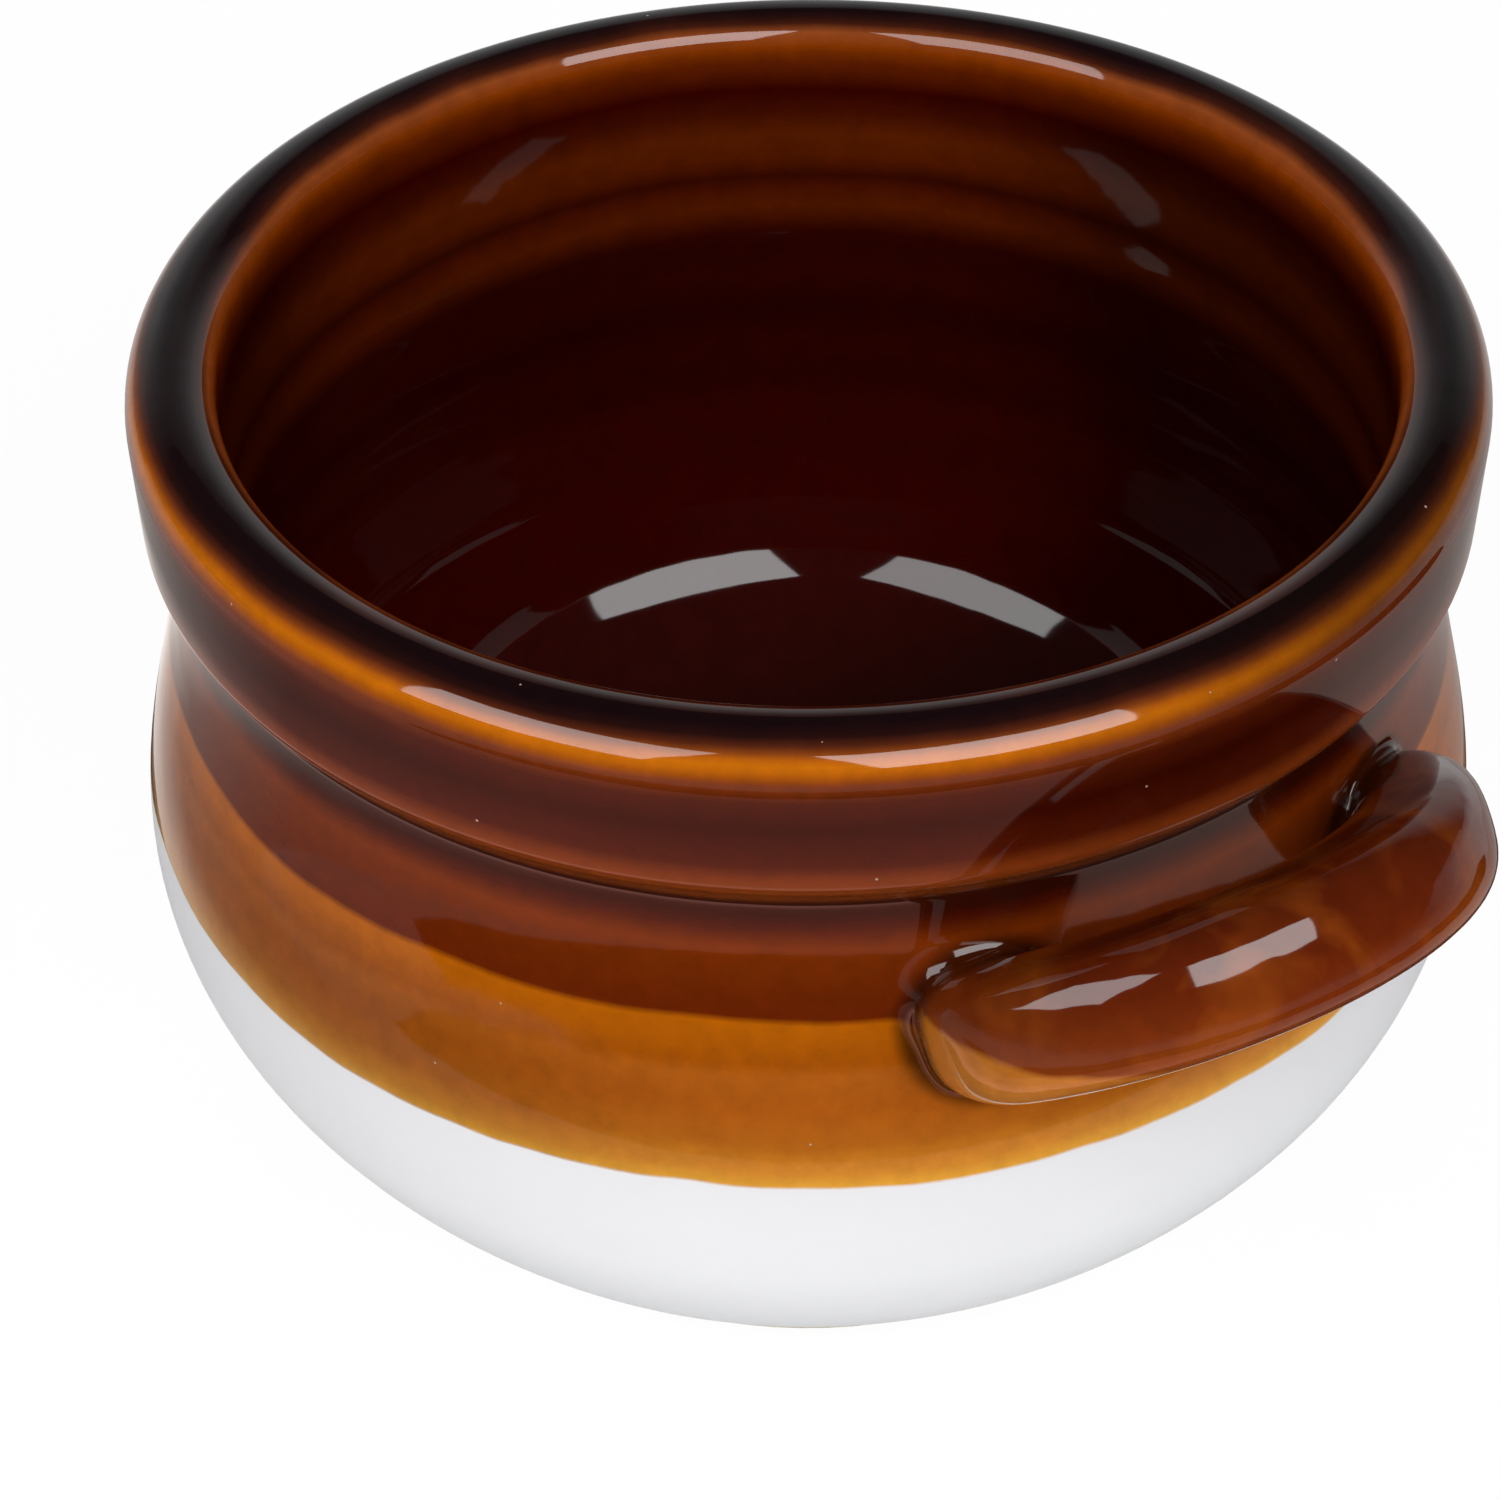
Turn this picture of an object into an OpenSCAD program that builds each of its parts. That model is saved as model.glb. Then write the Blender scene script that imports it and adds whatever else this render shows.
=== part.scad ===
// French onion soup crock: a stoneware bowl with a rolled collar, a pinched neck and a
// rounded belly on a flat foot. One round loop handle is luted on below the neck and tilts up.
// Millimetres, +Z up. The origin is the centre of the foot, and the handle points along +X.

/* [Bowl] */
// Height from the table to the top of the rim
crock_h = 97.8; // [92:0.1:106]
// Width of the mouth between the inner edges of the rim
mouth_w = 114.3; // [110:0.1:117]
// How far the belly stands out past the neck
belly_out = 6.3; // [3:0.1:9]
// Height of the widest part of the belly
belly_z = 43; // [36:0.5:48]
// Width of the flat foot
foot_w = 92.7; // [80:0.1:104]
// Thickness of the finished side wall
wall_t = 5.8; // [5:0.1:7]
// Thickness of the finished floor
floor_t = 7; // [5:0.1:9]

/* [Collar and neck] */
// Thickness of the rolled collar, from the mouth to its outside
rim_t = 8.7; // [8.4:0.1:10]
// How far the neck is pinched in behind the collar
neck_in = 2.15; // [1:0.05:3.2]
// Height of the rim's top above the pinched neck
collar_h = 19.2; // [17:0.1:22]
// Radius of the groove pressed in under the collar
groove_r = 3.5; // [2.5:0.1:4]
// Radius of the collar's lower edge
collar_edge_r = 2.6; // [1.8:0.1:3]
// Radius of the rim's outer edge
rim_outer_r = 4.6; // [3.5:0.1:4.8]
// Radius of the rim's inner edge
rim_inner_r = 3.7; // [2.5:0.1:4]

/* [Throwing rings] */
// Height of the finger ridges left inside the wall
ridge_h = 0.35; // [0.1:0.05:0.6]
// Distance from one ridge to the next
ridge_pitch = 11; // [9:0.5:14]

/* [Glaze] */
// Thickness of a glaze coat
glaze_t = 0.5; // [0.4:0.05:0.8]
// Height of the bare clay left at the foot
bare_foot_h = 0.8; // [0.6:0.1:3]
// How deep the rim is dipped for the brown coat
brown_dip = 32.1; // [29:0.1:36]
// How deep the rim is dipped for the amber band under it
amber_dip = 48.8; // [42:0.1:53]

/* [Handle] */
// Thickness of the glazed bar
bar_w = 12.5; // [10:0.1:13]
// Distance between the middles of the two roots
root_span = 45.1; // [43:0.1:48]
// How far below the neck the plane of the loop meets the wall
handle_drop = 11.1; // [10:0.1:13]
// Clear gap for a finger between the wall and the middle of the loop
finger_gap = 10.4; // [9:0.1:13]
// Upward tilt of the loop
handle_tilt = 36; // [28:0.5:40]
// Radius of the bow along the front of the loop, to the middle of the bar
bow_r = 26; // [23:0.1:32]
// Bend radius of the loop's two corners, to the middle of the bar
corner_r = 6.8; // [6.6:0.1:9]
// Radius of the slip fillet that lutes each root to the wall
lute_r = 2.6; // [1.5:0.1:3.5]

/* [Hidden] */
$fn = 180;

mouth_r = mouth_w / 2;
foot_r = foot_w / 2;
collar_r = mouth_r + rim_t;
neck_r = collar_r - neck_in;
belly_r = neck_r + belly_out;
neck_z = crock_h - collar_h;
brown_edge_z = crock_h - brown_dip;
white_edge_z = crock_h - amber_dip;
bar_r = bar_w / 2;
core_r = bar_r - glaze_t;

// Exponents of the lower wall's curve, of the shoulder's and of the bowl's rounded floor
lower_bend = 1.967;
lower_flare = 1.25;
shoulder_bend = 0.95;
floor_square = 3;

// Points along each stretch of the outline
n_white = 20;
n_amber = 7;
n_shoulder = 7;
n_arc = 6;
n_inner_wall = 20;
n_floor = 20;

// Points along each corner and the bow of the loop, and round its bar
n_corner = 8;
n_bow = 12;
n_round = 20;

// Facets round a luting fillet, and where its arc ends, short of a feather edge
n_lute = 32;
lute_end_a = 250;

// Where the groove's arc turns over into the collar's lower edge
turn_a = acos((collar_r - neck_r) / (groove_r + collar_edge_r) - 1);
edge_z = neck_z + (groove_r + collar_edge_r) * sin(turn_a);

// Radius of the finished outside at a height, from the foot over the belly to the neck
function lower_r(t) = foot_r + (belly_r - foot_r) * pow(1 - pow(1 - t, lower_bend), lower_flare);
function shoulder_r(t) = belly_r - (belly_r - neck_r) * (1 - cos(180 * pow(t, shoulder_bend))) / 2;
function outer_r(z) = z < belly_z ? lower_r(z / belly_z) : shoulder_r((z - belly_z) / (neck_z - belly_z));

// Height and radius at which the plane of the loop meets the wall, and the wall's lean there
handle_z = neck_z - handle_drop;
root_r = outer_r(handle_z);
wall_lean = atan((outer_r(handle_z - bar_r) - outer_r(handle_z + bar_r)) / bar_w);

// Half the angle between the roots, and the angle of the bow at which each corner of the loop
// starts, so that its leg runs out from the bowl's axis
root_angle = asin(root_span / 2 / root_r);
handle_reach = root_r + finger_gap + bar_r;
bow_a = root_angle - asin((corner_r + (bow_r - handle_reach) * sin(root_angle)) / (bow_r - corner_r));
corner_x = handle_reach - bow_r + (bow_r - corner_r) * cos(bow_a);
corner_y = (bow_r - corner_r) * sin(bow_a);

// How far a throwing ridge stands in from the inner wall at a height
function ridge(z) = ridge_h * (1 - cos(360 * z / ridge_pitch)) / 2;

// The finished inside below the belly, from the wall at t = 0 to the floor's centre at t = 1
function floor_pt(t) = [(belly_r - wall_t) * pow(cos(90 * t), 2 / floor_square),
                        belly_z - (belly_z - floor_t) * sin(90 * t)];

function arc(centre, r, a0, a1) =
    [for (i = [0 : n_arc]) centre + r * [cos(a0 + (a1 - a0) * i / n_arc), sin(a0 + (a1 - a0) * i / n_arc)]];
function rise(z0, z1, n) = [for (i = [0 : n]) let(z = z0 + (z1 - z0) * i / n) [outer_r(z), z]];
function tail(pts) = [for (i = [1 : len(pts) - 1]) pts[i]];
function part_of(pts, a, b) = [for (i = [a : b]) pts[i]];
function backwards(pts) = [for (i = [len(pts) - 1 : -1 : 0]) pts[i]];

// Outline of the finished, glazed surface in four runs, one for each coat
white_run = rise(bare_foot_h, white_edge_z, n_white);
amber_run = rise(white_edge_z, brown_edge_z, n_amber);
brown_run = concat(
    rise(brown_edge_z, neck_z, n_shoulder),
    tail(arc([neck_r + groove_r, neck_z], groove_r, 180, turn_a)),
    tail(arc([collar_r - collar_edge_r, edge_z], collar_edge_r, turn_a - 180, 0)),
    arc([collar_r - rim_outer_r, crock_h - rim_outer_r], rim_outer_r, 0, 90),
    arc([mouth_r + rim_inner_r, crock_h - rim_inner_r], rim_inner_r, 90, 180));
liner_run = concat(
    [[mouth_r, crock_h - rim_inner_r]],
    [for (i = [0 : n_inner_wall])
        let(z = neck_z + (belly_z - neck_z) * i / n_inner_wall) [outer_r(z) - wall_t - ridge(z), z]],
    [for (i = [1 : n_floor - 1])
        let(p = floor_pt(i / n_floor)) [p[0] - ridge(p[1]), p[1]]],
    [[0, floor_t]]);

i_white = n_white;
i_amber = i_white + n_amber;
i_brown = i_amber + len(brown_run) - 1;
i_liner = i_brown + len(liner_run) - 1;
finished = concat(white_run, tail(amber_run), tail(brown_run), tail(liner_run));

// The clay under the coats: each point of the finished outline moved in by the glaze
function next_of(pts, i) = i < len(pts) - 1 ? pts[i + 1] : [-pts[i - 1][0], pts[i - 1][1]];
function side_of(d) = [-d[1], d[0]] / norm(d);
clay = [for (i = [0 : i_liner])
    finished[i] + glaze_t * side_of(next_of(finished, i) - finished[max(i - 1, 0)])];

module coat(a, b) {
    rotate_extrude()
        polygon(concat(part_of(finished, a, b), backwards(part_of(clay, a, b))));
}

// Everything inside the outer surface, from the table up to the collar's top edge
module filled(pts) {
    rotate_extrude()
        polygon(concat([[0, 0], [foot_r, 0]], part_of(pts, 0, i_brown - n_arc), [[0, crock_h - glaze_t]]));
}

// Middle line of the loop's bar in plan, from one root to the other: [x, y, way out of the bend]
function bow_pt(way) = [handle_reach - bow_r + bow_r * cos(way), bow_r * sin(way), way];
function corner_pt(side, way) = [corner_x + corner_r * cos(way), side * (corner_y + corner_r * sin(way)),
                                 side * way];
function root_pt(side) = [(neck_r - wall_t) * cos(root_angle), side * (neck_r - wall_t) * sin(root_angle),
                          side * (90 + root_angle)];
function corner_way(i) = bow_a + (90 + root_angle - bow_a) * i / n_corner;
loop_line = concat(
    [root_pt(-1)],
    [for (i = [n_corner : -1 : 0]) corner_pt(-1, corner_way(i))],
    [for (i = [1 : n_bow - 1]) bow_pt(bow_a * (2 * i / n_bow - 1))],
    [for (i = [0 : n_corner]) corner_pt(1, corner_way(i))],
    [root_pt(1)]);

// The loop's bar as a round rod of radius r, from inside the wall round and back
module loop(r) {
    rings = [for (p = loop_line) for (k = [0 : n_round - 1])
        let(a = 360 * k / n_round)
            [p[0] + r * cos(a) * cos(p[2]), p[1] + r * cos(a) * sin(p[2]), r * sin(a)]];
    last = (len(loop_line) - 1) * n_round;
    sides = [for (i = [0 : len(loop_line) - 2]) for (k = [0 : n_round - 1])
        let(a = i * n_round + k, b = i * n_round + (k + 1) % n_round)
            each [[a, b, b + n_round], [a, b + n_round, a + n_round]]];
    on_wall()
        polyhedron(rings, concat(
            [[for (k = [n_round - 1 : -1 : 0]) k]],
            sides,
            [[for (k = [0 : n_round - 1]) last + k]]));
}

// Tilts the loop about the point where its plane meets the wall
module on_wall() {
    translate([root_r, 0, handle_z])
        rotate([0, -handle_tilt, 0])
            translate([-root_r, 0, 0])
                children();
}

// Puts a piece at one root, with +Z out along the bar
module at_root(side) {
    on_wall()
        rotate([0, 0, side * root_angle])
            translate([root_r, 0, 0])
                rotate([0, 90, 0])
                    children();
}

// Slope of the wall at one root, down and across, as seen along the bar
function wall_slope(side) =
    let(a = side * root_angle,
        out = [cos(wall_lean) * cos(a), cos(wall_lean) * sin(a), sin(wall_lean)],
        down = out * [sin(handle_tilt), 0, -cos(handle_tilt)],
        across = out * [-sin(a) * cos(handle_tilt), cos(a), -sin(a) * sin(handle_tilt)],
        along = out * [cos(a) * cos(handle_tilt), sin(a), cos(a) * sin(handle_tilt)])
    [-down / along, -across / along];

// A flared ring round the bar, whose foot follows the slope and the curve of the wall
module flare(side) {
    profile = concat(
        [[core_r, -wall_t / 2], [core_r, lute_r]],
        arc([bar_r + lute_r, lute_r], lute_r, 180, lute_end_a),
        [[bar_r + lute_r * (1 + cos(lute_end_a)), -wall_t / 2]]);
    n = len(profile);
    points = [for (k = [0 : n_lute - 1]) for (q = profile)
        let(x = q[0] * cos(360 * k / n_lute), y = q[0] * sin(360 * k / n_lute))
            [x, y, q[1] + wall_slope(side) * [x, y] - y * y / (2 * root_r)]];
    faces = [for (k = [0 : n_lute - 1]) for (i = [0 : n - 1])
        let(a = k * n + i, b = k * n + (i + 1) % n, next = (k + 1) % n_lute * n - k * n)
            each [[a, b + next, b], [a, a + next, b + next]]];
    at_root(side)
        polyhedron(points, faces);
}

// The ring of slip round one root, cut to the bar and the wall
module luting(side) {
    difference() {
        flare(side);
        loop(bar_r);
        filled(finished);
    }
}

// The way through a coat where the handle's clay joins the wall
module root_hole(side) {
    at_root(side)
        translate([0, 0, -wall_t / 2])
            cylinder(h = wall_t, r = core_r);
}

// Pale stoneware, thrown or jiggered in one piece: the wall, the collar and the flat foot
module stoneware_body() {
    color("#e2dccd")
        rotate_extrude()
            polygon(concat([[0, 0]], rise(0, bare_foot_h, 2), clay));
}

// Dark glaze poured inside, from the rim's inner edge down to the floor
module liner_glaze() {
    color("#2b0f06") coat(i_brown, i_liner);
}

// Brown glaze over the shoulder, the neck and the collar, open where the handle's clay joins
module brown_glaze() {
    color("#4a1c0a")
        difference() {
            coat(i_amber, i_brown);
            root_hole(-1);
            root_hole(1);
        }
}

// Amber band where the brown glaze runs thin over the white
module amber_glaze() {
    color("#b5701f")
        difference() {
            coat(i_white, i_amber);
            root_hole(-1);
            root_hole(1);
        }
}

// White glaze on the lower half, down to the bare foot
module white_glaze() {
    color("#e8e6e1") coat(0, i_white);
}

// Round clay bar, bent to a loop and butted to the shoulder at both roots
module loop_handle() {
    color("#e2dccd")
        difference() {
            loop(core_r);
            filled(clay);
        }
}

// Brown glaze round the whole bar
module handle_glaze() {
    color("#4f1e0b")
        difference() {
            loop(bar_r);
            loop(core_r);
            filled(finished);
        }
}

module luting_fillet_left() {
    color("#6b2a0c") luting(-1);
}

module luting_fillet_right() {
    color("#6b2a0c") luting(1);
}

stoneware_body();
liner_glaze();
brown_glaze();
amber_glaze();
white_glaze();
loop_handle();
handle_glaze();
luting_fillet_left();
luting_fillet_right();
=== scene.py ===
import bmesh
import bpy
from math import acos, asin, atan2, cos, degrees, pi, radians, sin
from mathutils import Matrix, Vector


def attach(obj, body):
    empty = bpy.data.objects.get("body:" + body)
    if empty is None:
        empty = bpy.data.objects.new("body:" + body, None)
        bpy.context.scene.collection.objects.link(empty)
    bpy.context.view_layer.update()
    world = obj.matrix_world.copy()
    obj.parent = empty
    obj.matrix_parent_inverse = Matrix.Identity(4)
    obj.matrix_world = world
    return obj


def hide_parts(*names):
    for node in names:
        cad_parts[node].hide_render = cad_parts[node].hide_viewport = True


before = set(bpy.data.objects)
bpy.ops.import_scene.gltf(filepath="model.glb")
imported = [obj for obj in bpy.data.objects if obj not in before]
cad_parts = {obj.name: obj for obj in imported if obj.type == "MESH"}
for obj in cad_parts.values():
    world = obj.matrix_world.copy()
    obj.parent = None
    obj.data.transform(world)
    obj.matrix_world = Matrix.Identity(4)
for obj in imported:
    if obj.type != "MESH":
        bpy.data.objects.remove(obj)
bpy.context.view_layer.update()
bpy.ops.object.select_all(action="DESELECT")


# ---- Stoneware body ----
# The crock itself: pale stoneware clay, jiggered in one piece with its rolled collar and flat
# foot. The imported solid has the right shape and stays. Its clay shows only where the foot was
# wiped clean of glaze, as a narrow ring and the underside.

def linear(shade):
    """An sRGB hex colour as the linear RGBA that a shader takes."""
    parts = [int(shade[i:i + 2], 16) / 255 for i in (1, 3, 5)]
    return [c / 12.92 if c <= 0.04045 else ((c + 0.055) / 1.055) ** 2.4 for c in parts] + [1]


def add_node(tree, kind, inputs=None, stops=None, **settings):
    """Adds one shader node with its settings, its values or links, and a ramp's stops."""
    node = tree.nodes.new("ShaderNode" + kind)
    for name, value in settings.items():
        setattr(node, name, value)
    for key, value in (inputs or {}).items():
        if isinstance(value, bpy.types.NodeSocket):
            tree.links.new(value, node.inputs[key])
        else:
            node.inputs[key].default_value = value
    if stops:
        ramp = node.color_ramp
        ramp.elements.remove(ramp.elements[1])
        ramp.elements[0].position, ramp.elements[0].color = stops[0][0], linear(stops[0][1])
        for place, shade in stops[1:]:
            ramp.elements.new(place).color = linear(shade)
    return node


def new_material(name):
    """A new node material, emptied, and its tree to build in."""
    material = bpy.data.materials.new(name)
    material.use_nodes = True
    material.node_tree.nodes.clear()
    return material, material.node_tree


# Stoneware fired to maturity and left bare: matt, off-white, with fine grog and iron specks.
bare_stoneware, tree = new_material("bare_stoneware")
place = add_node(tree, "TexCoord").outputs["Object"]
# Grog of about 0.7 mm
grog = add_node(tree, "TexNoise", {"Vector": place, "Scale": 1400, "Detail": 4, "Roughness": 0.6})
# Slow warm and cool patches from the kiln, about 20 mm across
flush = add_node(tree, "TexNoise", {"Vector": place, "Scale": 50, "Detail": 2})
# Iron specks up to half a millimetre across, one in each 8 mm or so
iron = add_node(tree, "TexVoronoi", {"Vector": place, "Scale": 330})
clay_tone = add_node(tree, "ValToRGB", {"Fac": grog.outputs["Fac"]},
                     stops=[(0.3, "#cfc6b2"), (0.5, "#e2dccd"), (0.75, "#efeadf")])
flushed = add_node(tree, "Mix", {0: flush.outputs["Fac"], 6: clay_tone.outputs["Color"],
                                 7: linear("#d9c9ab")}, data_type="RGBA", blend_type="MULTIPLY")
speck = add_node(tree, "MapRange", {"Value": iron.outputs["Distance"], "From Min": 0.06, "From Max": 0.1,
                                    "To Min": 0.7, "To Max": 0})
specked = add_node(tree, "Mix", {0: speck.outputs["Result"], 6: flushed.outputs[2], 7: linear("#6b4a30")},
                   data_type="RGBA")
tooth = add_node(tree, "Bump", {"Height": grog.outputs["Fac"], "Strength": 0.35, "Distance": 0.0002})
clay = add_node(tree, "BsdfPrincipled", {"Base Color": specked.outputs[2], "Roughness": 0.85, "IOR": 1.5,
                                         "Normal": tooth.outputs["Normal"]})
add_node(tree, "OutputMaterial", {"Surface": clay.outputs["BSDF"]})
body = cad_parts["stoneware_body"]
body.data.materials.clear()
body.data.materials.append(bare_stoneware)


# ---- Glaze coat ----
# One skin of fired glaze over the whole crock but the foot. The bowl was lined with dark glaze,
# its lower half dipped white, and its upper half dipped in brown, which runs amber over the white
# and breaks thin and golden over the collar's edges.

# Finished radii and heights in metres: the mouth, the foot, the widest belly, the pinched neck, the
# collar, the rim's top and the clay left bare at the foot
mouth_r, foot_r, belly_r, neck_r, collar_r = 0.05715, 0.04635, 0.07, 0.0637, 0.06585
crock_h, belly_z, neck_z, bare_foot_h = 0.0978, 0.043, 0.0786, 0.0008
wall_t, floor_t, coat_t = 0.0058, 0.007, 0.00045
# The groove under the collar, the collar's lower edge, and the rim's two edges
groove_r, collar_edge_r, rim_outer_r, rim_inner_r = 0.0035, 0.0026, 0.0046, 0.0037
# How hard the curves of the lower wall and of the shoulder bend
lower_bend, lower_flare, shoulder_bend = 1.967, 1.25, 0.95
# The throwing ridges left inside, and the height down to which the amber glaze runs
ridge_h, ridge_pitch, amber_z = 0.00035, 0.011, 0.049
# Points nearer than this are one point
weld = 0.00001
# Where the groove's curve turns over into the collar's lower edge
turn_a = acos((collar_r - neck_r) / (groove_r + collar_edge_r) - 1)
edge_z = neck_z + (groove_r + collar_edge_r) * sin(turn_a)


def outer_r(z):
    """Radius of the finished outside at a height up to the neck."""
    if z < belly_z:
        return foot_r + (belly_r - foot_r) * (1 - (1 - z / belly_z) ** lower_bend) ** lower_flare
    rise = (z - belly_z) / (neck_z - belly_z)
    return belly_r - (belly_r - neck_r) * (1 - cos(pi * rise ** shoulder_bend)) / 2


def ridge(z):
    """How far a throwing ridge stands in from the inner wall at a height."""
    return ridge_h * (1 - cos(2 * pi * z / ridge_pitch)) / 2


def arc(centre_r, centre_z, r, start, end, steps=12):
    """Points along a rounded edge of the outline."""
    turns = [start + (end - start) * i / steps for i in range(steps + 1)]
    return [(centre_r + r * cos(a), centre_z + r * sin(a)) for a in turns]


# From the foot up the outside, over the rim, down the inside with its ridges, and along the floor
outside_steps, wall_steps, bottom_steps = 48, 36, 24
outline = []
for i in range(outside_steps):
    z = bare_foot_h + (neck_z - bare_foot_h) * i / outside_steps
    outline.append((outer_r(z), z))
outline += arc(neck_r + groove_r, neck_z, groove_r, pi, turn_a)
outline += arc(collar_r - collar_edge_r, edge_z, collar_edge_r, turn_a - pi, 0)[1:]
outline += arc(collar_r - rim_outer_r, crock_h - rim_outer_r, rim_outer_r, 0, pi / 2, 16)
outline += arc(mouth_r + rim_inner_r, crock_h - rim_inner_r, rim_inner_r, pi / 2, pi, 16)
for i in range(wall_steps):
    z = neck_z + (belly_z - neck_z) * i / wall_steps
    outline.append((outer_r(z) - wall_t - ridge(z), z))
for i in range(bottom_steps):
    swing = pi / 2 * i / bottom_steps
    z = belly_z - (belly_z - floor_t) * sin(swing)
    outline.append(((belly_r - wall_t) * cos(swing) ** (2 / 3) - ridge(z), z))
outline.append((0, floor_t))

# The outline is drawn as a line from one point, then spun round like clay on the wheel
bpy.ops.mesh.primitive_plane_add(size=0.001, location=(outline[0][0], 0, outline[0][1]))
glaze_coat = bpy.context.object
glaze_coat.name = "glaze_coat"
bpy.ops.object.transform_apply(location=True, rotation=True, scale=True)
bpy.ops.object.mode_set(mode="EDIT")
bpy.ops.mesh.merge(type="CENTER")
for (r0, z0), (r1, z1) in zip(outline, outline[1:]):
    bpy.ops.mesh.extrude_vertices_move(TRANSFORM_OT_translate={"value": (r1 - r0, 0, z1 - z0)})
bpy.ops.mesh.select_all(action="SELECT")
bpy.ops.mesh.spin(steps=192, angle=2 * pi, center=(0, 0, 0), axis=(0, 0, 1))
bpy.ops.mesh.select_all(action="SELECT")
bpy.ops.mesh.remove_doubles(threshold=weld)
bpy.ops.mesh.normals_make_consistent(inside=False)
bpy.ops.object.mode_set(mode="OBJECT")
skin = glaze_coat.modifiers.new("skin", "SOLIDIFY")
skin.thickness, skin.offset = coat_t, -1
bpy.ops.object.modifier_apply(modifier="skin")
bpy.ops.object.shade_smooth_by_angle(angle=radians(50))

# The handle's bar, and where the middle of each of its ends meets the wall: the glaze pools there
bar_r, handle_tilt = 0.00625, radians(36)
handle_z, root_r, root_span = 0.0675, 0.064989, 0.0451
root_angle = asin(root_span / 2 / root_r)


def tilted(x, y):
    """A point of the loop's own plane, once that plane is tilted up about the wall."""
    return Vector((root_r + (x - root_r) * cos(handle_tilt), y, handle_z + (x - root_r) * sin(handle_tilt)))


roots = [tilted(root_r * cos(a), root_r * sin(a)) for a in (-root_angle, root_angle)]
legs = [tilted(root_r + cos(a), sin(a)) - tilted(root_r, 0) for a in (-root_angle, root_angle)]


def by_height(*bands):
    """A ramp's stops from heights in millimetres, for a ramp that spans the crock's height."""
    return [(mm / 1000 / crock_h, shade) for mm, shade in bands]


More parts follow.
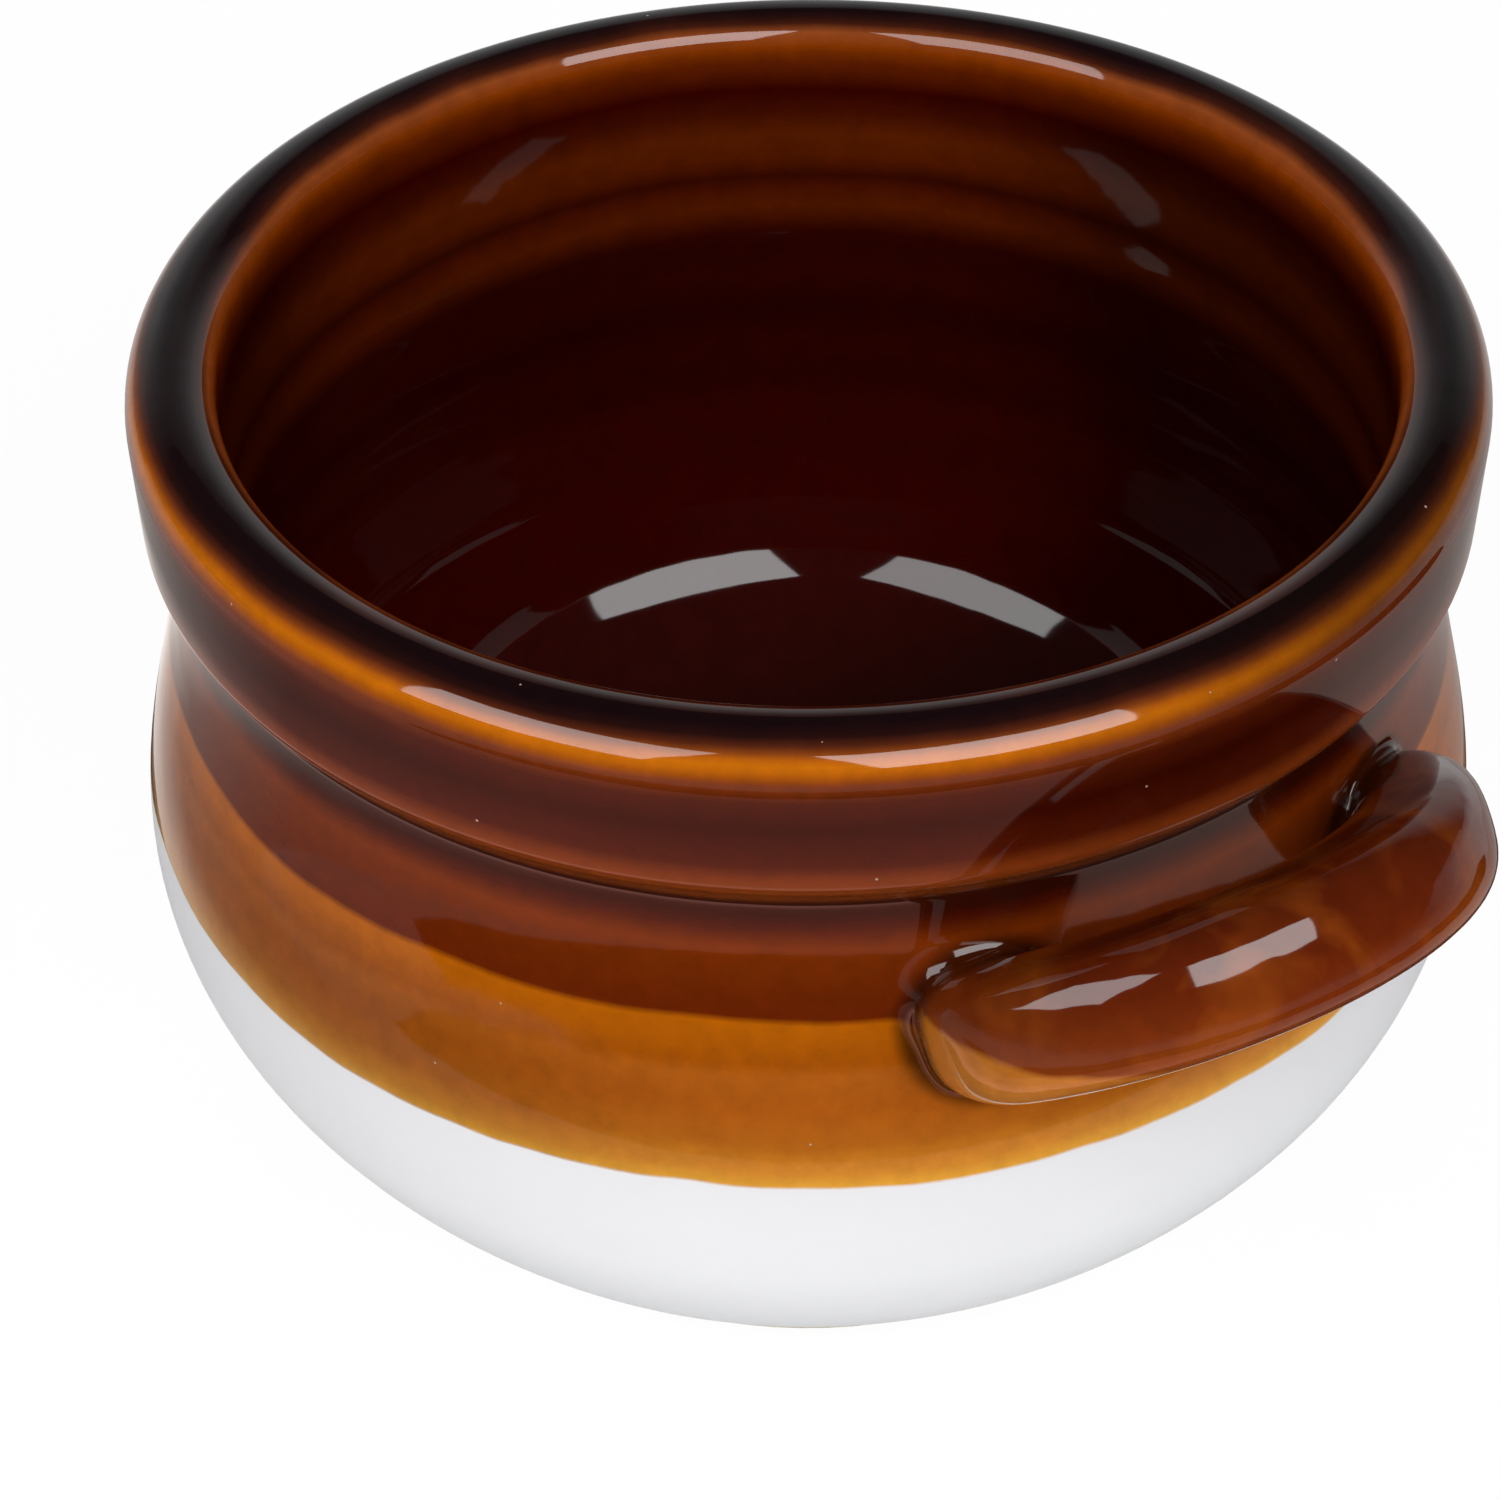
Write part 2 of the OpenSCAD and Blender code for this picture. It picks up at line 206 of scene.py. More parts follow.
def dipped_look(tree, place):
    """The brown dip's colour by height, mottled, and pooled dark round the handle's roots."""
    xyz = add_node(tree, "SeparateXYZ", {"Vector": place})
    # The dip lines wander about a millimetre in 50 mm, the bands on the collar a third of that
    slow = add_node(tree, "TexNoise", {"Vector": place, "Scale": 22, "Detail": 3, "Roughness": 0.55})
    most = add_node(tree, "MapRange", {"Value": xyz.outputs["Z"], "From Min": 0.067, "From Max": 0.075,
                                       "To Min": 0.0045, "To Max": 0.0015})
    centred = add_node(tree, "Math", {0: slow.outputs["Fac"], 1: 0.5}, operation="SUBTRACT")
    wander = add_node(tree, "Math", {0: centred.outputs[0], 1: most.outputs["Result"]},
                      operation="MULTIPLY")
    height = add_node(tree, "Math", {0: xyz.outputs["Z"], 1: wander.outputs[0]}, operation="ADD")
    share = add_node(tree, "Math", {0: height.outputs[0], 1: crock_h}, operation="DIVIDE")
    # White, then amber from 49 mm, brown from 65.7 mm, dark in the groove and golden at the rim
    # Painted light and reflection: the band from 80.3 to 83.4 mm, the collar's lower edge, is lifted
    # against the groove's shade and for the pale haze it mirrors
    # Painted light: the white darkens toward its top and lightens toward the foot, to even out lamps that
    # light the upper belly more than its underside
    bands = add_node(tree, "ValToRGB", {"Fac": share.outputs[0]}, stops=by_height(
        (22, "#eff0f2"), (36, "#e4e5e7"), (44, "#d5d6d9"), (48.9, "#cecfd2"), (49.25, "#c48c2a"),
        (50.6, "#b5731f"), (53.5, "#9b5514"), (57, "#954b0f"), (60.2, "#954d10"), (61.4, "#8c4404"),
        (65.5, "#9b5003"), (65.9, "#561a02"), (69.5, "#5a1e02"), (72.5, "#622302"), (73.8, "#692702"),
        (76.2, "#400e02"), (77.6, "#2a0802"), (79.2, "#2a0a03"), (80.3, "#6a2e0e"), (82, "#682c0a"),
        (83.4, "#6e2d0d"), (85.3, "#421003"), (89.5, "#2c0500"), (92.5, "#3f1003"), (94.4, "#6a2b0b"),
        (95.3, "#9a4e06"), (95.8, "#ae5e05"), (96.3, "#9c4f08"), (96.8, "#5a2510"), (97.3, "#230b07"),
        (97.8, "#110406")))
    # Fine curtains and mottle in the thin glaze, 1 to 3 mm across
    mottle = add_node(tree, "TexNoise", {"Vector": place, "Scale": 420, "Detail": 5, "Roughness": 0.65})
    mottled = add_node(tree, "MapRange", {"Value": mottle.outputs["Fac"], "From Min": 0.3, "From Max": 0.7,
                                          "To Min": 0.88, "To Max": 1.1})
    # Darker on the side to the left of the handle, below the brown
    turned = add_node(tree, "VectorMath", {0: place, 1: (-0.2, -0.98, 0)}, operation="DOT_PRODUCT")
    darker_left = add_node(tree, "MapRange", {"Value": turned.outputs["Value"], "From Min": 0.025,
                                        "From Max": 0.062, "To Min": 1, "To Max": 0.66},
                     interpolation_type="SMOOTHSTEP")
    low = add_node(tree, "MapRange", {"Value": xyz.outputs["Z"], "From Min": 0.058, "From Max": 0.064,
                                      "To Min": 1, "To Max": 0})
    thickness = add_node(tree, "Mix", {0: low.outputs["Result"], 2: 1.0, 3: darker_left.outputs["Result"]})
    # It breaks golden on the rim to the left of the handle, and duller round the other side
    front = add_node(tree, "VectorMath", {0: place, 1: (0.5, -0.866, 0)}, operation="DOT_PRODUCT")
    golden = add_node(tree, "MapRange", {"Value": front.outputs["Value"], "From Min": 0.015,
                                         "From Max": 0.05, "To Min": 0.4, "To Max": 1},
                      interpolation_type="SMOOTHSTEP")
    rim = add_node(tree, "MapRange", {"Value": xyz.outputs["Z"], "From Min": 0.0935, "From Max": 0.095,
                                      "To Min": 0, "To Max": 1})
    broken = add_node(tree, "Mix", {0: rim.outputs["Result"], 2: thickness.outputs[0],
                                    3: golden.outputs["Result"]})
    # Glaze pooled dark in the crease round the handle's two roots
    gaps = []
    for root, leg in zip(roots, legs):
        reach = add_node(tree, "VectorMath", {0: place, 1: root}, operation="SUBTRACT")
        across = add_node(tree, "VectorMath", {0: reach.outputs["Vector"], 1: leg},
                          operation="CROSS_PRODUCT")
        gaps.append(add_node(tree, "VectorMath", {0: across.outputs["Vector"]}, operation="LENGTH"))
    nearest = add_node(tree, "Math", {i: gap.outputs["Value"] for i, gap in enumerate(gaps)},
                       operation="MINIMUM")
    pooled = add_node(tree, "MapRange", {"Value": nearest.outputs[0], "From Min": bar_r + 0.001,
                                         "From Max": bar_r + 0.003, "To Min": 0.25, "To Max": 1},
                      interpolation_type="SMOOTHSTEP")
    over_white = add_node(tree, "Math", {0: height.outputs[0], 1: amber_z}, operation="GREATER_THAN")
    tone = add_node(tree, "Math", {0: mottled.outputs["Result"], 1: pooled.outputs["Result"]},
                    operation="MULTIPLY")
    toned = add_node(tree, "Math", {0: tone.outputs[0], 1: broken.outputs[0]}, operation="MULTIPLY")
    look = add_node(tree, "Mix", {0: over_white.outputs[0], 6: bands.outputs["Color"], 7: toned.outputs[0]},
                    data_type="RGBA", blend_type="MULTIPLY")
    # Pinholes and dust burnt into the melt, up to a quarter of a millimetre across and rare
    pinhole = add_node(tree, "TexVoronoi", {"Vector": place, "Scale": 260})
    picked = add_node(tree, "SeparateColor", {"Color": pinhole.outputs["Color"]})
    few = add_node(tree, "Math", {0: picked.outputs["Red"], 1: 0.72}, operation="GREATER_THAN")
    small = add_node(tree, "Math", {0: pinhole.outputs["Distance"], 1: 0.035}, operation="LESS_THAN")
    speck = add_node(tree, "Math", {0: few.outputs[0], 1: small.outputs[0]}, operation="MULTIPLY")
    over = add_node(tree, "Math", {0: speck.outputs[0], 1: over_white.outputs[0]}, operation="MULTIPLY")
    dusted = add_node(tree, "Mix", {0: over.outputs[0], 6: look.outputs[2], 7: linear("#a08070")},
                      data_type="RGBA")
    return dusted.outputs[2], height.outputs[0]


# Brown iron glaze over white: glossy and glassy, dark where it lies thick, amber where it is thin.
dipped_glaze, tree = new_material("dipped_brown_over_white_glaze")
place = add_node(tree, "TexCoord").outputs["Object"]
dip_shade, dip_height = dipped_look(tree, place)
# The white below fires to a satin, the brown and amber to a full gloss
satin = add_node(tree, "MapRange", {"Value": dip_height, "From Min": amber_z - 0.0002,
                                    "From Max": amber_z + 0.0004, "To Min": 0.45, "To Max": 0.045})
# The surface of the melt, never quite even: swells of about 12 mm and 2 hundredths of a mm high
swell = add_node(tree, "TexNoise", {"Vector": place, "Scale": 80, "Detail": 2})
melt = add_node(tree, "Bump", {"Height": swell.outputs["Fac"], "Strength": 0.5, "Distance": 0.00012})
glass = add_node(tree, "BsdfPrincipled", {"Base Color": dip_shade, "Roughness": satin.outputs["Result"],
                                          "IOR": 1.5, "Normal": melt.outputs["Normal"]})
add_node(tree, "OutputMaterial", {"Surface": glass.outputs["BSDF"]})
glaze_coat.data.materials.append(dipped_glaze)

# The liner: a glossy red-brown glaze, almost black where thick, lighter on the throwing rings.
liner_glaze, tree = new_material("dark_liner_glaze")
place = add_node(tree, "TexCoord").outputs["Object"]
xyz = add_node(tree, "SeparateXYZ", {"Vector": place})
slow = add_node(tree, "TexNoise", {"Vector": place, "Scale": 18, "Detail": 3, "Roughness": 0.5})
wander = add_node(tree, "MapRange", {"Value": slow.outputs["Fac"], "From Min": 0.3, "From Max": 0.7,
                                     "To Min": -0.0007, "To Max": 0.0007})
height = add_node(tree, "Math", {0: xyz.outputs["Z"], 1: wander.outputs["Result"]}, operation="ADD")
share = add_node(tree, "Math", {0: height.outputs[0], 1: crock_h}, operation="DIVIDE")
# Painted light: the whole ramp is lifted, most of all low in the bowl, against the shade that the walls
# cast inside it
rings = add_node(tree, "ValToRGB", {"Fac": share.outputs[0]}, stops=by_height(
    (7, "#441408"), (12, "#3c0a03"), (25, "#3a0401"), (58, "#2f0300"), (70, "#340501"), (74, "#531a00"),
    (76.5, "#481201"), (78, "#370a01"), (80.5, "#541a00"), (83.5, "#5a1e01"), (86.5, "#420f01"),
    (89.5, "#340300"), (93, "#5e1e00"), (95, "#803402"), (96.3, "#84401a"), (97, "#3c160a"),
    (97.5, "#1c0907"), (97.8, "#110406")))
mottle = add_node(tree, "TexNoise", {"Vector": place, "Scale": 300, "Detail": 5, "Roughness": 0.65})
mottled = add_node(tree, "MapRange", {"Value": mottle.outputs["Fac"], "From Min": 0.3, "From Max": 0.7,
                                      "To Min": 0.86, "To Max": 1.14})
# Painted shade: below the rim the inner wall is darker at the sides and in front than at the back
back = add_node(tree, "VectorMath", {0: place, 1: (-0.966, 0.259, 0)}, operation="DOT_PRODUCT")
painted_shade_and_tone = add_node(tree, "MapRange", {"Value": back.outputs["Value"], "From Min": 0.0285, "From Max": 0.05,
                                   "To Min": 0.45, "To Max": 1}, interpolation_type="SMOOTHSTEP")
rim = add_node(tree, "MapRange", {"Value": xyz.outputs["Z"], "From Min": 0.089, "From Max": 0.094,
                                  "To Min": 0, "To Max": 1})
painted_shade_below_rim = add_node(tree, "Mix", {0: rim.outputs["Result"], 2: painted_shade_and_tone.outputs["Result"], 3: 1.0})
tone = add_node(tree, "Math", {0: mottled.outputs["Result"], 1: painted_shade_below_rim.outputs[0]}, operation="MULTIPLY")
shade = add_node(tree, "Mix", {0: 1.0, 6: rings.outputs["Color"], 7: tone.outputs[0]},
                 data_type="RGBA", blend_type="MULTIPLY")
swell = add_node(tree, "TexNoise", {"Vector": place, "Scale": 80, "Detail": 2})
melt = add_node(tree, "Bump", {"Height": swell.outputs["Fac"], "Strength": 0.5, "Distance": 0.00012})
glass = add_node(tree, "BsdfPrincipled", {"Base Color": shade.outputs[2], "Roughness": 0.045, "IOR": 1.5,
                                          "Normal": melt.outputs["Normal"]})
add_node(tree, "OutputMaterial", {"Surface": glass.outputs["BSDF"]})
glaze_coat.data.materials.append(liner_glaze)

# The liner covers everything inside the rim's top
for face in glaze_coat.data.polygons:
    r, z = Vector(face.center[:2]).length, face.center.z
    inside = r < mouth_r + rim_inner_r if z > neck_z else r < outer_r(z) - wall_t / 2
    face.material_index = 1 if inside else 0
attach(glaze_coat, "root")
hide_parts("liner_glaze", "brown_glaze", "amber_glaze", "white_glaze")


# ---- Loop handle ----
# A bar of the same clay, bent to a loop, butted to the shoulder and luted on with slip that flares
# out at each root. It was dipped with the bowl, so it is brown above the dip line and tan below
# it, and the glaze has run off its outer bends.

# The finger's gap at the middle of the loop, and the bends of its front and of its two corners
finger_gap, bow_r, corner_r = 0.0096, 0.026, 0.0068
handle_reach = root_r + finger_gap + bar_r
# How far the bow turns to each side, the centres of the two corners, and the two straight legs
bow_a = root_angle - asin((corner_r + (bow_r - handle_reach) * sin(root_angle)) / (bow_r - corner_r))
corner = Vector((handle_reach - bow_r + (bow_r - corner_r) * cos(bow_a),
                 (bow_r - corner_r) * sin(bow_a), handle_z))
other_corner = Vector((corner.x, -corner.y, handle_z))
leg_way = Vector((cos(root_angle), -sin(root_angle), 0))
back_way = Vector((-cos(root_angle), -sin(root_angle), 0))
start = root_r * leg_way + Vector((0, 0, handle_z))
leg_l = (other_corner + corner_r * Vector((-sin(root_angle), -cos(root_angle), 0)) - start).length

# A disc that starts 3 mm inside the wall and is pressed a little square, as the bar's faces are
# flatter than its corners. A power of 2 would leave it round.
sunk, squareness = 0.003, 2.8
disc_middle = start - sunk * leg_way
bpy.ops.mesh.primitive_circle_add(vertices=64, radius=bar_r, fill_type="NGON", location=disc_middle,
                                  rotation=(0, pi / 2, -root_angle))
handle = bpy.context.object
handle.name = "luted_loop_handle"
bpy.ops.object.transform_apply(location=True, rotation=True, scale=True)
for vertex in handle.data.vertices:
    out = vertex.co - disc_middle
    turn = atan2(out.z, out.xy.length)
    full = (abs(cos(turn)) ** squareness + abs(sin(turn)) ** squareness) ** (-1 / squareness)
    vertex.co = disc_middle + full * out

# The disc is drawn out as the first leg, in steps that close up at the wall
bpy.ops.object.mode_set(mode="EDIT")
bpy.ops.mesh.select_all(action="SELECT")
steps = [-sunk, 0, 0.00004, 0.00012, 0.00026, 0.00046, 0.0007, 0.001, 0.00135, leg_l]
for s0, s1 in zip(steps, steps[1:]):
    bpy.ops.mesh.extrude_region_move(TRANSFORM_OT_translate={"value": (s1 - s0) * leg_way})

# The first corner, the bow and the other corner as three bends, then back into the wall
sweep = pi / 2 + root_angle - bow_a
for turns, angle, centre in ((26, sweep, other_corner),
                             (36, 2 * bow_a, (handle_reach - bow_r, 0, handle_z)),
                             (26, sweep, corner)):
    bpy.ops.mesh.spin(steps=turns, angle=angle, center=centre, axis=(0, 0, -1))
for s0, s1 in zip(steps[::-1], steps[-2::-1]):
    bpy.ops.mesh.extrude_region_move(TRANSFORM_OT_translate={"value": (s0 - s1) * back_way})
bpy.ops.mesh.select_all(action="SELECT")
bpy.ops.mesh.remove_doubles(threshold=weld)
bpy.ops.mesh.normals_make_consistent(inside=False)
bpy.ops.transform.rotate(value=handle_tilt, orient_axis="Y", center_override=(root_r, 0, handle_z))
bpy.ops.object.mode_set(mode="OBJECT")


def wall_along(point, way):
    """How far a point goes along the bar before it meets the bowl's wall."""
    search, halvings = 0.012, 24
    near, far = -search, search
    for _ in range(halvings):
        middle = (near + far) / 2
        tried = point + middle * way
        if tried.xy.length < outer_r(tried.z):
            near = middle
        else:
            far = middle
    return near


# The slip is wiped out at each root to a hollow flare, wide above and tight below, wider at the
# left root than at the right one, and the flare's foot is pressed to the wall. Past 9 mm along
# the bar nothing is moved, nor is anything that lies off the root's own end.
lute_r, lute_reach, end_r = 0.0009, 0.009, 0.010
for vertex in handle.data.vertices:
    side, outward, wider = (0, -0.5, 0.004) if vertex.co.y < 0 else (1, 0.5, 0.0012)
    root, leg = roots[side], legs[side]
    along = (vertex.co - root).dot(leg)
    spread = vertex.co - root - along * leg
    if along > lute_reach or spread.length > end_r:
        continue
    hollow = lute_r + wider * max(0, spread.normalized().dot((0, outward, 0.9))) ** 2
    short = max(0, hollow - max(along, 0))
    spread *= 1 + (hollow - (hollow ** 2 - short ** 2) ** 0.5) / bar_r
    fade = min(1, max(0, 1 - along / lute_reach))
    pressed = wall_along(root + spread, leg) * fade * fade * (3 - 2 * fade)
    vertex.co = root + spread + (along + pressed) * leg
bpy.ops.object.shade_smooth_by_angle(angle=radians(60))

# The same iron glaze on the bar: brown on top, tan where it has drained off underneath, lighter
# round the outside of the bends, black in the creases of the roots.
handle_glaze, tree = new_material("dipped_handle_glaze")
place = add_node(tree, "TexCoord").outputs["Object"]
# The line between brown and tan climbs along the bar, about 1 mm in 6 mm, and wanders a little
climb = add_node(tree, "VectorMath", {0: place, 1: (-0.16, 0, 1)}, operation="DOT_PRODUCT")
slow = add_node(tree, "TexNoise", {"Vector": place, "Scale": 45, "Detail": 3, "Roughness": 0.55})
wander = add_node(tree, "MapRange", {"Value": slow.outputs["Fac"], "From Min": 0.3, "From Max": 0.7,
                                     "To Min": 0.0093, "To Max": 0.0109})
height = add_node(tree, "Math", {0: climb.outputs["Value"], 1: wander.outputs["Result"]}, operation="ADD")
share = add_node(tree, "Math", {0: height.outputs[0], 1: crock_h}, operation="DIVIDE")
bands = add_node(tree, "ValToRGB", {"Fac": share.outputs[0]}, stops=by_height(
    (58, "#a05a1c"), (64, "#a86628"), (69.2, "#a2601f"), (69.9, "#6a2c0b"), (73, "#602407"),
    (77, "#501803"), (83, "#411202")))
# Brown is lighter round the outside of the bow and darker toward the crock
flat = add_node(tree, "VectorMath", {0: place, 1: (1, 1, 0)}, operation="MULTIPLY")
out_r = add_node(tree, "VectorMath", {0: flat.outputs["Vector"]}, operation="LENGTH")
painted_shade_and_tone = add_node(tree, "MapRange", {"Value": out_r.outputs["Value"], "From Min": 0.073, "From Max": 0.084,
                                   "To Min": 0.8, "To Max": 1.25})
mottle = add_node(tree, "TexNoise", {"Vector": place, "Scale": 420, "Detail": 5, "Roughness": 0.65})
mottled = add_node(tree, "MapRange", {"Value": mottle.outputs["Fac"], "From Min": 0.3, "From Max": 0.7,
                                      "To Min": 0.88, "To Max": 1.1})
# Clouds of amber, 10 mm across, where the dip ran off
cloud = add_node(tree, "TexNoise", {"Vector": place, "Scale": 95, "Detail": 3, "Distortion": 0.6})
clouded = add_node(tree, "MapRange", {"Value": cloud.outputs["Fac"], "From Min": 0.48, "From Max": 0.68,
                                      "To Min": 0, "To Max": 0.45})
run = add_node(tree, "Mix", {0: clouded.outputs["Result"], 6: bands.outputs["Color"],
                             7: linear("#84400c")}, data_type="RGBA")
tone = add_node(tree, "Math", {0: mottled.outputs["Result"], 1: painted_shade_and_tone.outputs["Result"]},
                operation="MULTIPLY")
bar_shade = add_node(tree, "Mix", {0: 1.0, 6: run.outputs[2], 7: tone.outputs[0]},
                     data_type="RGBA", blend_type="MULTIPLY")
# The flare within 3 mm of the wall has the wall's own look. The wall's radius falls 0.2 mm for
# each mm of height here.
lean_in = add_node(tree, "VectorMath", {0: place, 1: (0, 0, 0.2)}, operation="DOT_PRODUCT")
wall_gap = add_node(tree, "Math", {0: out_r.outputs["Value"], 1: lean_in.outputs["Value"]},
                    operation="ADD")
off_wall = add_node(tree, "MapRange", {"Value": wall_gap.outputs[0], "From Min": 0.0797, "From Max": 0.0826,
                                       "To Min": 0, "To Max": 1}, interpolation_type="SMOOTHSTEP")
shade = add_node(tree, "Mix", {0: off_wall.outputs["Result"], 6: dipped_look(tree, place)[0],
                               7: bar_shade.outputs[2]}, data_type="RGBA")
swell = add_node(tree, "TexNoise", {"Vector": place, "Scale": 110, "Detail": 2})
melt = add_node(tree, "Bump", {"Height": swell.outputs["Fac"], "Strength": 0.6, "Distance": 0.00035})
glass = add_node(tree, "BsdfPrincipled", {"Base Color": shade.outputs[2], "Roughness": 0.06, "IOR": 1.5,
                                          "Normal": melt.outputs["Normal"]})
add_node(tree, "OutputMaterial", {"Surface": glass.outputs["BSDF"]})
handle.data.materials.append(handle_glaze)
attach(handle, "root")
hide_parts("loop_handle", "handle_glaze", "luting_fillet_left", "luting_fillet_right")


# ---- Floor ----
# A plain white table, almost white to the camera. The glaze mirrors it as grey, paler toward the
# back and nearly black close to the foot, so that no haze lies over the creases of the roots.
bpy.ops.mesh.primitive_plane_add(size=12, location=(0, 0, 0))
table_top = bpy.context.object
table_top.name = "table_top"
white_table, tree = new_material("white_table")
matt = add_node(tree, "BsdfDiffuse", {"Color": linear("#f4f4f4")})
place = add_node(tree, "TexCoord").outputs["Object"]
where = add_node(tree, "VectorMath", {0: place, 1: (-0.83, 0.56, 0)}, operation="DOT_PRODUCT")
depth = add_node(tree, "MapRange", {"Value": where.outputs["Value"], "From Min": -0.05,
                                    "From Max": 0.2, "To Min": 0.2, "To Max": 0.7})
foot_gap = add_node(tree, "VectorMath", {0: place}, operation="LENGTH")
close = add_node(tree, "MapRange", {"Value": foot_gap.outputs["Value"], "From Min": 0.105,
                                    "From Max": 0.117, "To Min": 0.1, "To Max": 1})
dimmed = add_node(tree, "Math", {0: depth.outputs["Result"], 1: close.outputs["Result"]},
                  operation="MULTIPLY")
dim = add_node(tree, "BsdfDiffuse", {"Color": dimmed.outputs[0]})
bright = add_node(tree, "Emission", {"Color": (1, 1, 1, 1), "Strength": 1})
path = add_node(tree, "LightPath")
seen_in_gloss = add_node(tree, "MixShader", {0: path.outputs["Is Glossy Ray"], 1: matt.outputs[0],
                                             2: dim.outputs[0]})
whitened = add_node(tree, "MixShader", {0: 0.92, 1: matt.outputs[0], 2: bright.outputs[0]})
seen = add_node(tree, "MixShader", {0: path.outputs["Is Camera Ray"], 1: seen_in_gloss.outputs[0],
                                    2: whitened.outputs[0]})
add_node(tree, "OutputMaterial", {"Surface": seen.outputs[0]})
table_top.data.materials.append(white_table)

# Two cards lie flat round the set, out of the camera's sight, and only the glaze mirrors them: a
# warm ring that turns grey to both sides, and outside it a black one, tapered to the left and
# rounded at its ends, that draws the dark band across the shoulder and the handle. Angles are in
# degrees round from the handle.
black_first, black_last, blunt_end = -90, 72, 9
# From this angle to its first end, the black card narrows to a quarter, about this radius
taper_from, narrowest, taper_r = -52, 0.25, 0.2
for name, near, far, first, last in (("warm_card", 0.111, 0.181, -180, 180),
                                     ("black_card", 0.181, 0.275, black_first, black_last)):
    bpy.ops.mesh.primitive_circle_add(vertices=180, radius=near, fill_type="NOTHING",
                                      location=(0, 0, 0.0005))
    card = bpy.context.object
    card.name = name
    bpy.ops.object.transform_apply(location=True, rotation=True, scale=True)
    bpy.ops.object.mode_set(mode="EDIT")
    bpy.ops.mesh.select_all(action="SELECT")
    bpy.ops.mesh.extrude_region_move()
    bpy.ops.transform.resize(value=(far / near, far / near, 1), center_override=(0, 0, 0))
    bpy.ops.mesh.select_all(action="DESELECT")
    shape = bmesh.from_edit_mesh(card.data)
    for face in shape.faces:
        middle = face.calc_center_median()
        face.select_set(not first < degrees(atan2(middle.y, middle.x)) < last)
    bmesh.update_edit_mesh(card.data)
    bpy.ops.mesh.delete(type="FACE")
    bpy.ops.object.mode_set(mode="OBJECT")
    card_board, tree = new_material(name + "_board")
    if name == "black_card":
        strength = 1
        for vertex in card.data.vertices:
            turn = degrees(atan2(vertex.co.y, vertex.co.x))
            to_end = min(turn - black_first, black_last - turn) / blunt_end
            blunt = (1 - max(0, 1 - to_end) ** 2) ** 0.5
            taper = 1 - (1 - narrowest) * max(0, taper_from - turn) / (taper_from - black_first)
            out = vertex.co.length
            vertex.co.xy *= (taper_r + (out - taper_r) * taper * blunt) / out
        tint = (0.004, 0.004, 0.004, 1)
    else:
        place = add_node(tree, "TexCoord").outputs["Object"]
        xyz = add_node(tree, "SeparateXYZ", {"Vector": place})
        turn = add_node(tree, "Math", {0: xyz.outputs["Y"], 1: xyz.outputs["X"]}, operation="ARCTAN2")
        round_share = add_node(tree, "MapRange", {"Value": turn.outputs[0], "From Min": -pi,
                                                  "From Max": pi})
        tint = add_node(tree, "ValToRGB", {"Fac": round_share.outputs["Result"]}, stops=[
            (turn / 360 + 0.5, shade) for turn, shade in (
                (-180, "#b4b0ac"), (-135, "#9c9692"), (-112, "#867470"), (-92, "#a8807a"), (-70, "#cc8c80"),
                (-10, "#cc8c80"), (10, "#bca8a0"), (32, "#b09e94"), (49, "#b4a49e"), (76, "#a09894"),
                (130, "#b8b4b0"))]).outputs["Color"]
        # Brightest close to the crock at the left, for the pale line along the collar's lower edge
        reach = add_node(tree, "VectorMath", {0: place}, operation="LENGTH")
        at_left = add_node(tree, "MapRange", {"Value": turn.outputs[0], "From Min": -0.6, "From Max": 0,
                                              "To Min": 2.6, "To Max": 1})
        nearer = add_node(tree, "MapRange", {"Value": reach.outputs["Value"], "From Min": 0.122,
                                             "From Max": 0.145, "To Min": at_left.outputs["Result"],
                                             "To Max": 1})
        strength = nearer.outputs["Result"]
    glow = add_node(tree, "Emission", {"Color": tint, "Strength": strength})
    add_node(tree, "OutputMaterial", {"Surface": glow.outputs[0]})
    card.data.materials.append(card_board)
    card.visible_camera = False
    card.visible_diffuse = False
    card.visible_shadow = False

# A grey board stands behind the set, brightest in the middle and below, also only for the glaze:
# it lightens the rim's top.
bpy.ops.mesh.primitive_plane_add(size=1, location=(-0.5, 0.34, 0.3), rotation=(pi / 2, 0, radians(56)))
back_board = bpy.context.object
back_board.name = "back_board"
back_board.scale = (2, 0.58, 1)
bpy.ops.object.transform_apply(location=True, rotation=True, scale=True)
grey_board, tree = new_material("grey_board")
place = add_node(tree, "TexCoord").outputs["Object"]
xyz = add_node(tree, "SeparateXYZ", {"Vector": place})
upward = add_node(tree, "MapRange", {"Value": xyz.outputs["Z"], "From Min": 0.3, "From Max": 0.58,
                                     "To Min": 0.45, "To Max": 0.08})
along = add_node(tree, "VectorMath", {0: place, 1: (0.559, 0.829, 0)}, operation="DOT_PRODUCT")
off_middle = add_node(tree, "Math", {0: along.outputs["Value"]}, operation="ABSOLUTE")
sideways = add_node(tree, "MapRange", {"Value": off_middle.outputs[0], "From Min": 0.35, "From Max": 0.98,
                                       "To Min": 1, "To Max": 0.07}, interpolation_type="SMOOTHSTEP")
faded = add_node(tree, "Math", {0: upward.outputs["Result"], 1: sideways.outputs["Result"]},
                 operation="MULTIPLY")
glow = add_node(tree, "Emission", {"Strength": faded.outputs[0]})
add_node(tree, "OutputMaterial", {"Surface": glow.outputs[0]})
back_board.data.materials.append(grey_board)
back_board.visible_camera = False
back_board.visible_diffuse = False
back_board.visible_shadow = False


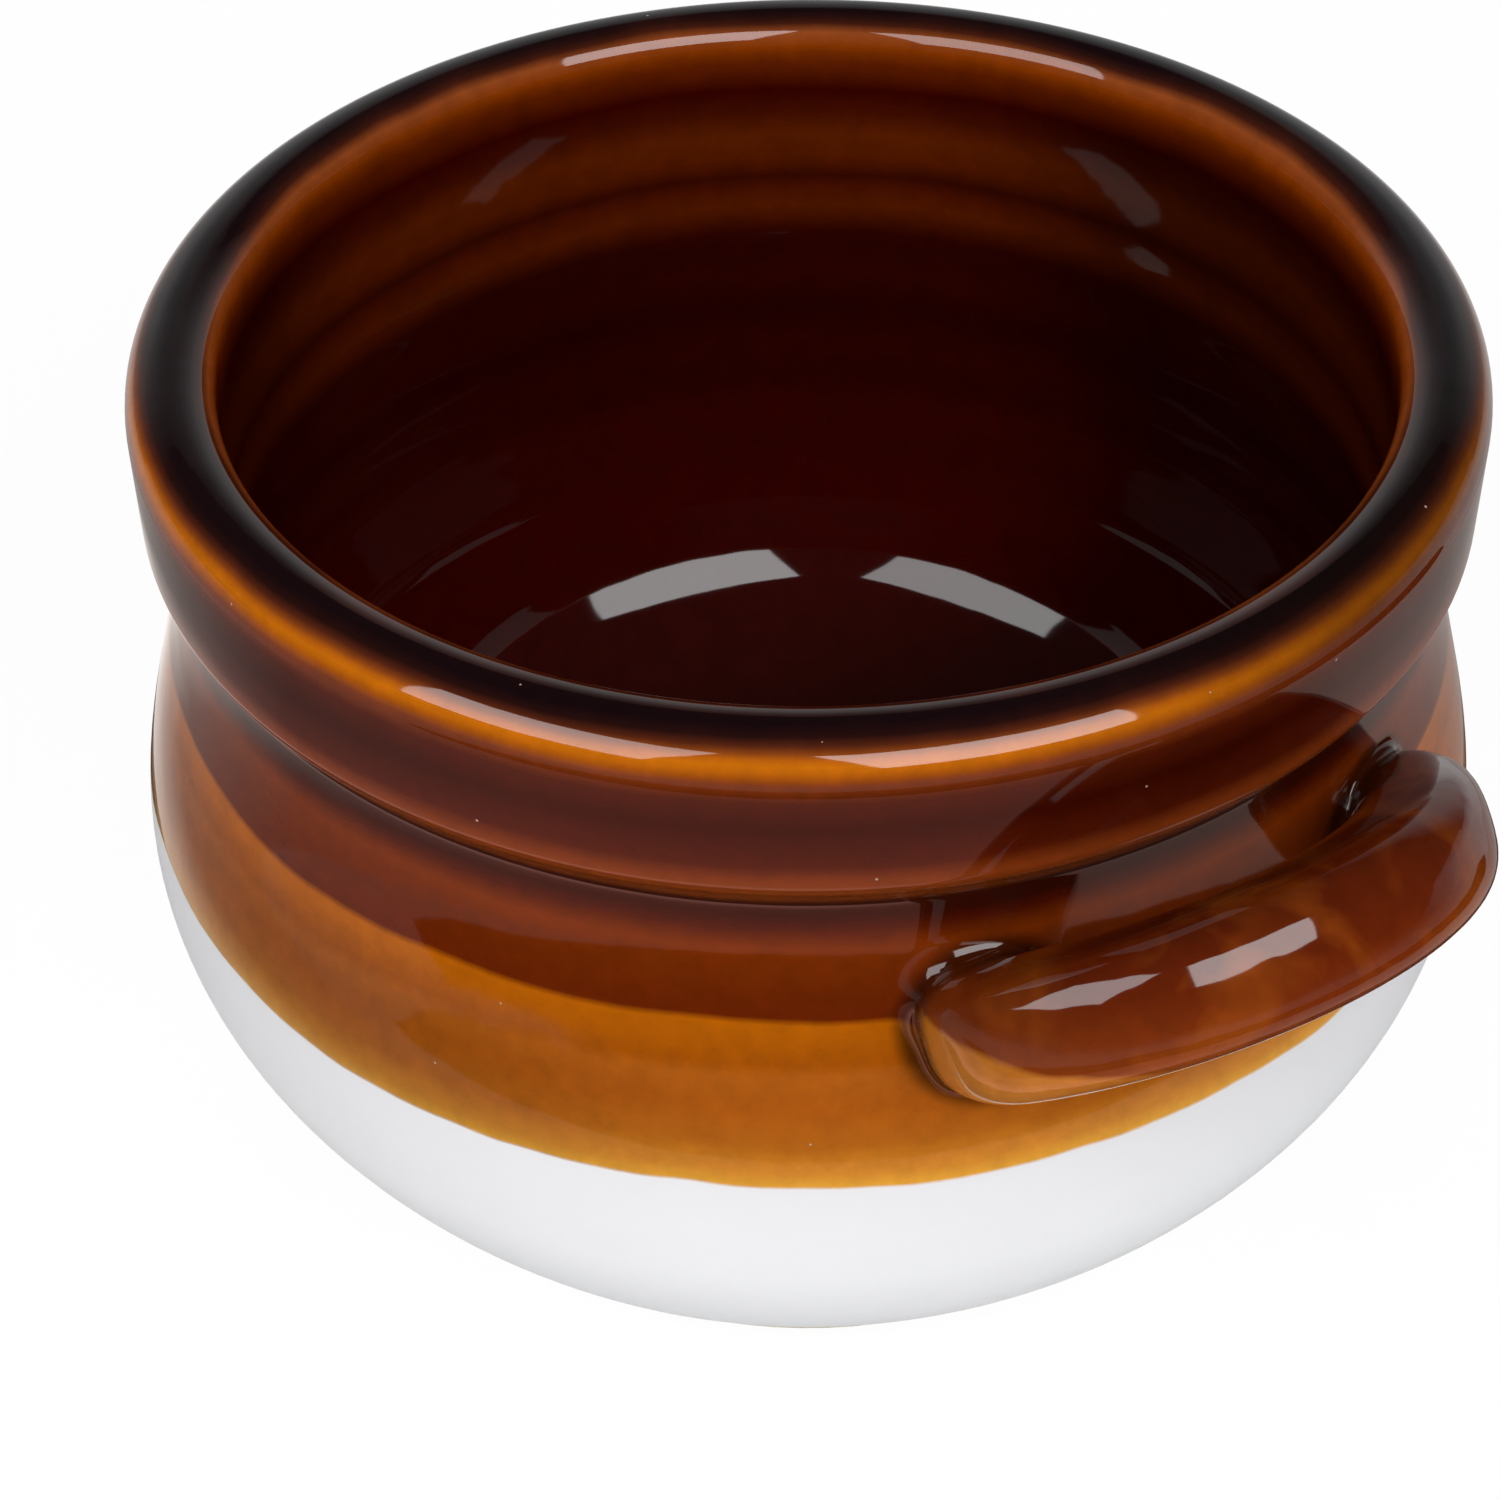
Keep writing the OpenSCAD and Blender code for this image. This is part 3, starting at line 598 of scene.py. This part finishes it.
# ---- Studio light ----
# Two softboxes in front, one each side of the camera, whose shapes show in the glaze, a weaker
# one behind that the glaze doesn't mirror, and an even dim light from all round.
lamp_reach, aim_z = 0.7, 0.06
for name, azimuth, elevation, wide, high, radiance in (
        ("right_softbox", -4, 40, 0.46, 0.36, 6), ("left_softbox", -77, 39, 0.45, 0.36, 4.8),
        ("back_softbox", 150, 35, 0.46, 0.36, 3)):
    lamp = bpy.data.lights.new(name, "AREA")
    lamp.shape, lamp.size, lamp.size_y = "RECTANGLE", wide, high
    lamp.energy = radiance * pi * wide * high
    softbox = bpy.data.objects.new(name, lamp)
    bpy.context.collection.objects.link(softbox)
    up, round_by = radians(elevation), radians(azimuth)
    way = Vector((cos(up) * cos(round_by), cos(up) * sin(round_by), sin(up)))
    softbox.location = lamp_reach * way + Vector((0, 0, aim_z))
    softbox.rotation_euler = (-way).to_track_quat("-Z", "Y").to_euler()
    softbox.visible_camera = False
    softbox.visible_glossy = name != "back_softbox"

world = bpy.data.worlds.new("studio")
bpy.context.scene.world = world
world.use_nodes = True
tree = world.node_tree
tree.nodes.clear()
path = add_node(tree, "LightPath")
fill = add_node(tree, "Background", {"Color": (1, 1, 1, 1), "Strength": 0.35})
gloom = add_node(tree, "Background", {"Color": (1, 1, 1, 1), "Strength": 0.03})
paper = add_node(tree, "Background", {"Color": (1, 1, 1, 1), "Strength": 1})
round_about = add_node(tree, "MixShader", {0: path.outputs["Is Glossy Ray"], 1: fill.outputs[0],
                                           2: gloom.outputs[0]})
seen = add_node(tree, "MixShader", {0: path.outputs["Is Camera Ray"], 1: round_about.outputs[0],
                                    2: paper.outputs[0]})
add_node(tree, "OutputWorld", {"Surface": seen.outputs[0]})


# ---- Camera ----
# The photograph's own view: from the front, with the handle to the right, looking 41 degrees down.
lens = bpy.data.cameras.new("camera")
lens.lens, lens.sensor_width, lens.sensor_fit = 74.923, 36, "HORIZONTAL"
camera = bpy.data.objects.new("camera", lens)
bpy.context.collection.objects.link(camera)
camera.location = (0.21114, -0.14349, 0.26436)
camera.rotation_euler = (radians(48.825), radians(0.667), radians(56.581))
bpy.context.scene.camera = camera
bpy.context.scene.view_settings.view_transform = "Standard"
